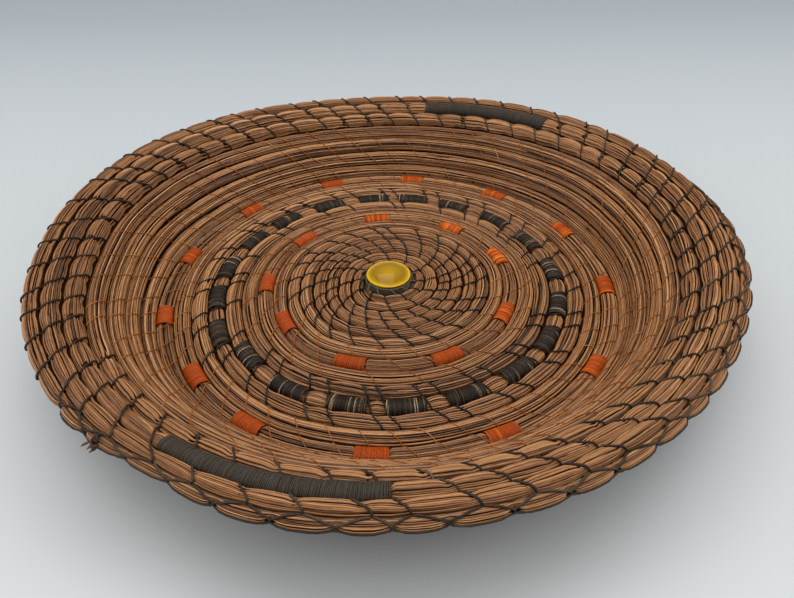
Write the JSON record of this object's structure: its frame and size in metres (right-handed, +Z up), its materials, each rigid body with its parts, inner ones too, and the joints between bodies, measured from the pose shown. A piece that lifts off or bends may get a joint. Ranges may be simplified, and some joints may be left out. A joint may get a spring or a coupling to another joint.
{
  "type": "coiled basket",
  "caption": "Round, shallow, flared coiled basket of pine needles, with thread wraps in rings and a glossy yellow disc in the middle.",
  "frame": {"origin": "under the middle of the basket's bounding box, on the surface that it stands on", "axes": "+Z up; +X to the right and +Y away from the picture's camera"},
  "size_m": [0.3086, 0.305, 0.0411],
  "materials": {
    "needles": "dried pine needles, satin, tan-brown with darker gaps",
    "orange_thread": "orange waxed thread, wound tight",
    "dark_thread": "dark grey-brown waxed thread, wound tight",
    "disc": "high-gloss yellow with a paler rim"
  },
  "bodies": {
    "root": {"needle_coil": "needles", "centre_disc": "disc", "centre_binding": "dark_thread", "orange_wrap_inner_01": "orange_thread", "orange_wrap_inner_02": "orange_thread", "orange_wrap_inner_03": "orange_thread", "orange_wrap_inner_04": "orange_thread", "orange_wrap_inner_05": "orange_thread", "orange_wrap_inner_06": "orange_thread", "orange_wrap_inner_07": "orange_thread", "orange_wrap_inner_08": "orange_thread", "orange_wrap_inner_09": "orange_thread", "dark_wrap_01": "dark_thread", "dark_wrap_02": "dark_thread", "dark_wrap_03": "dark_thread", "dark_wrap_04": "dark_thread", "dark_wrap_05": "dark_thread", "dark_wrap_06": "dark_thread", "dark_wrap_07": "dark_thread", "dark_wrap_08": "dark_thread", "dark_wrap_09": "dark_thread", "dark_wrap_10": "dark_thread", "dark_wrap_11": "dark_thread", "dark_wrap_12": "dark_thread", "dark_wrap_13": "dark_thread", "dark_wrap_14": "dark_thread", "dark_wrap_15": "dark_thread", "dark_wrap_16": "dark_thread", "dark_wrap_17": "dark_thread", "dark_wrap_18": "dark_thread", "dark_wrap_19": "dark_thread", "dark_wrap_20": "dark_thread", "orange_wrap_outer_01": "orange_thread", "orange_wrap_outer_02": "orange_thread", "orange_wrap_outer_03": "orange_thread", "orange_wrap_outer_04": "orange_thread", "orange_wrap_outer_05": "orange_thread", "orange_wrap_outer_06": "orange_thread", "orange_wrap_outer_07": "orange_thread", "orange_wrap_outer_08": "orange_thread", "orange_wrap_outer_09": "orange_thread", "orange_wrap_outer_10": "orange_thread", "orange_wrap_outer_11": "orange_thread", "orange_wrap_outer_12": "orange_thread", "orange_wrap_outer_13": "orange_thread", "long_dark_wrap_01": "dark_thread", "long_dark_wrap_02": "dark_thread"}
  },
  "joints": []
}
